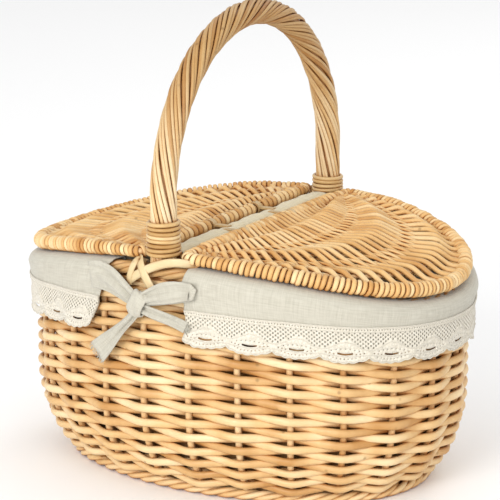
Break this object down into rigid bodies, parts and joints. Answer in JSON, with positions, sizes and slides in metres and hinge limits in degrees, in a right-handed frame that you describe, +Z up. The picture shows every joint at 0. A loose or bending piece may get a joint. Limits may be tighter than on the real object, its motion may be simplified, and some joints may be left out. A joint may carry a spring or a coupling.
{
  "type": "wicker picnic basket",
  "caption": "Oval willow picnic basket with a roped hoop handle, two lids hinged at the middle bar, and a linen liner with a lace-edged skirt.",
  "frame": {"origin": "on the ground under the middle of the base", "axes": "+X along the basket towards the right lid, +Y across it towards the back handle leg, +Z up"},
  "size_m": [0.4044, 0.322, 0.402],
  "materials": {
    "willow": "woven buff willow, satin varnish",
    "willow_rod": "peeled willow rod, satin varnish",
    "binding_cane": "round cane binding, satin varnish",
    "flat_cane": "flat split cane, pale, satin",
    "linen": "grey-beige linen, plain weave",
    "lace": "cream cotton crochet lace"
  },
  "bodies": {
    "basket": {"foot_wale": "willow", "base_sticks": "willow_rod", "base_weave": "willow", "stakes": "willow_rod", "siding": "willow", "top_wale": "willow", "border": "willow_rod", "crossbar": "willow_rod", "crossbar_sleeve": "linen", "hinge_loops": "flat_cane", "handle_core": "willow_rod", "handle_roping": "willow", "handle_binding_front": "binding_cane", "handle_binding_back": "binding_cane", "cross_tie_front": "flat_cane", "cross_tie_back": "flat_cane", "liner_bag": "linen", "liner_skirt_right": "linen", "liner_skirt_left": "linen", "lace_right": "lace", "lace_left": "lace", "tie_bow_front": "linen", "tie_bow_back": "linen"},
    "lid_right": {"lid_right_rim": "willow_rod", "lid_right_ribs": "willow_rod", "lid_right_weave": "willow", "lid_right_binding": "willow"},
    "lid_left": {"lid_left_rim": "willow_rod", "lid_left_ribs": "willow_rod", "lid_left_weave": "willow", "lid_left_binding": "willow"}
  },
  "joints": [
    {"name": "lid_right_hinge", "type": "hinge", "parent": "basket", "child": "lid_right", "pos_m": [0.02, 0, 0.21069], "axis": [0, -1, 0], "range_deg": [0, 90]},
    {"name": "lid_left_hinge", "type": "hinge", "parent": "basket", "child": "lid_left", "pos_m": [-0.02, 0, 0.21069], "axis": [0, 1, 0], "range_deg": [0, 90]}
  ]
}
